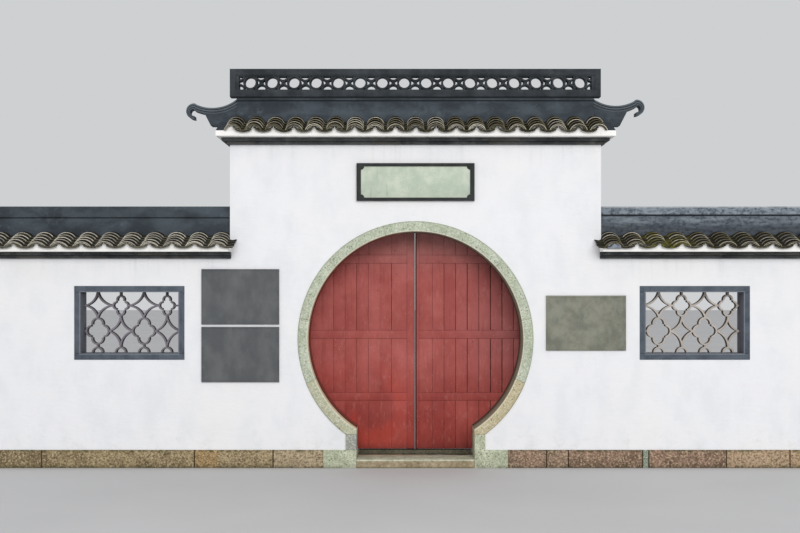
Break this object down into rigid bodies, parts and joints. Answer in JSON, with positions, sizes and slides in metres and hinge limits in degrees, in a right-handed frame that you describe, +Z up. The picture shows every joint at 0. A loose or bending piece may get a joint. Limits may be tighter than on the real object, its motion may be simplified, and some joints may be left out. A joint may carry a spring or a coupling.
{
  "type": "moon gate",
  "caption": "Whitewashed garden wall with a tiled coping, a round stone-lined doorway with double timber leaves, and lattice windows beside it.",
  "frame": {"origin": "on the ground below the middle of the doorway, in the wall's middle plane", "axes": "+X along the wall to the right as seen from the front, +Y from the front through the wall to the back, +Z up"},
  "size_m": [8, 0.794, 3.7442],
  "materials": {
    "white_render": "matte limewash on render",
    "grey_green_stone": "hammered stone",
    "blue_grey_stone": "hammered stone",
    "plinth_stone": "rough weathered stone",
    "step_stone": "worn stone",
    "frame_stone": "rubbed stone",
    "lattice_tile": "unglazed fired clay",
    "cornice_brick": "weathered brick",
    "white_mortar": "matte lime mortar",
    "roof_tile": "weathered unglazed tile",
    "ridge_render": "weathered slate-grey render",
    "parapet_tile": "weathered unglazed tile",
    "plaque_border": "honed dark stone",
    "plaque_face": "pecked stone",
    "dark_plate": "honed slate",
    "bronze_patina": "dull patina",
    "red_paint": "weathered red paint on timber",
    "beam_timber": "weathered red paint on timber"
  },
  "bodies": {
    "wall": {"plinth_left": "plinth_stone", "plinth_right": "plinth_stone", "foot_stone_left": "grey_green_stone", "foot_stone_right": "grey_green_stone", "neck_stone_left": "blue_grey_stone", "moon_ring": "grey_green_stone", "ring_base_left": "grey_green_stone", "ring_base_right": "grey_green_stone", "front_step": "step_stone", "threshold": "step_stone", "gate_wall_left": "white_render", "gate_wall_right": "white_render", "gate_wall_over": "white_render", "haunch_left": "white_render", "haunch_right": "white_render", "side_wall_left": "white_render", "side_wall_right": "white_render", "window_frame_left": "frame_stone", "window_frame_right": "frame_stone", "window_lattice_left": "lattice_tile", "window_lattice_right": "lattice_tile", "cornice_gate": "cornice_brick", "cornice_left": "cornice_brick", "cornice_right": "cornice_brick", "mortar_bed_gate": "white_mortar", "mortar_bed_left": "white_mortar", "mortar_bed_right": "white_mortar", "tiles_gate": "roof_tile", "tiles_left": "roof_tile", "tiles_right": "roof_tile", "ridge_gate": "ridge_render", "ridge_left": "ridge_render", "ridge_right": "ridge_render", "ridge_wing_left": "ridge_render", "ridge_wing_right": "ridge_render", "parapet_frame": "ridge_render", "parapet_lattice": "parapet_tile", "plaque_frame": "plaque_border", "plaque_panel": "plaque_face", "notice_plates": "dark_plate", "bronze_plate": "bronze_patina", "door_head_beam": "beam_timber", "pivot_stones": "grey_green_stone"},
    "left_leaf": {"door_leaf_left": "red_paint"},
    "right_leaf": {"door_leaf_right": "red_paint"}
  },
  "joints": [
    {"name": "left_leaf_pivot", "type": "hinge", "parent": "wall", "child": "left_leaf", "pos_m": [-1.075, 0.2125, 0.124], "axis": [0, 0, 1], "range_deg": [0, 95]},
    {"name": "right_leaf_pivot", "type": "hinge", "parent": "wall", "child": "right_leaf", "pos_m": [1.075, 0.2125, 0.124], "axis": [0, 0, -1], "range_deg": [0, 95]}
  ]
}
